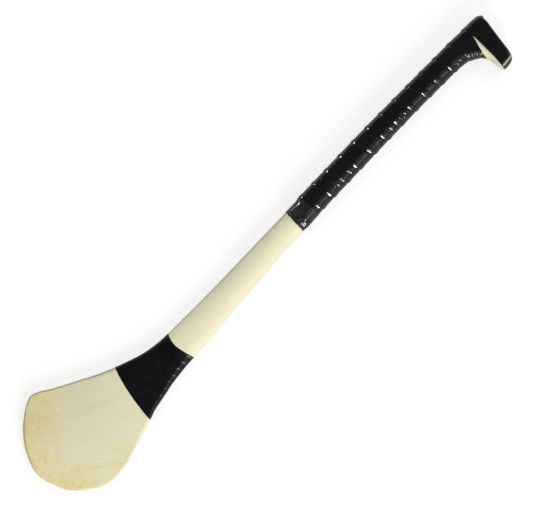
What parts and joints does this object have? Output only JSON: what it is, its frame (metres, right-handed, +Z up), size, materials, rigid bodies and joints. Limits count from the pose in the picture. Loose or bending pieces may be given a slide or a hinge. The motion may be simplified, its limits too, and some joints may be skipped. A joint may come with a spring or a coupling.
{
  "type": "hurley",
  "caption": "Ash hurley with a flat rounded bas, a slim shaft and a hooked butt, its handle wound with a lapped grip strip and its neck with tape, for striking a small ball.",
  "frame": {"origin": "below the middle of the whole stick, on the surface that it lies on, with its front face up", "axes": "+Y along the stick from the toe of the bas to the butt, +X to the side that the hook points to, +Z up, out of the front face"},
  "size_m": [0.1368, 0.711, 0.0297],
  "materials": {
    "ash_wood": "pale sanded ash under a thin clear coat, with long grain lines",
    "grip_polyurethane": "black polyurethane strip, soft and semi-gloss, with small creases",
    "gloss_tape": "thin glossy black tape",
    "satin_tape": "thin satin black tape, wound in many lapped turns"
  },
  "bodies": {
    "root": {"ash_stick": "ash_wood", "grip_strip": "grip_polyurethane", "finishing_tape": "gloss_tape", "neck_tape": "satin_tape"}
  },
  "joints": []
}
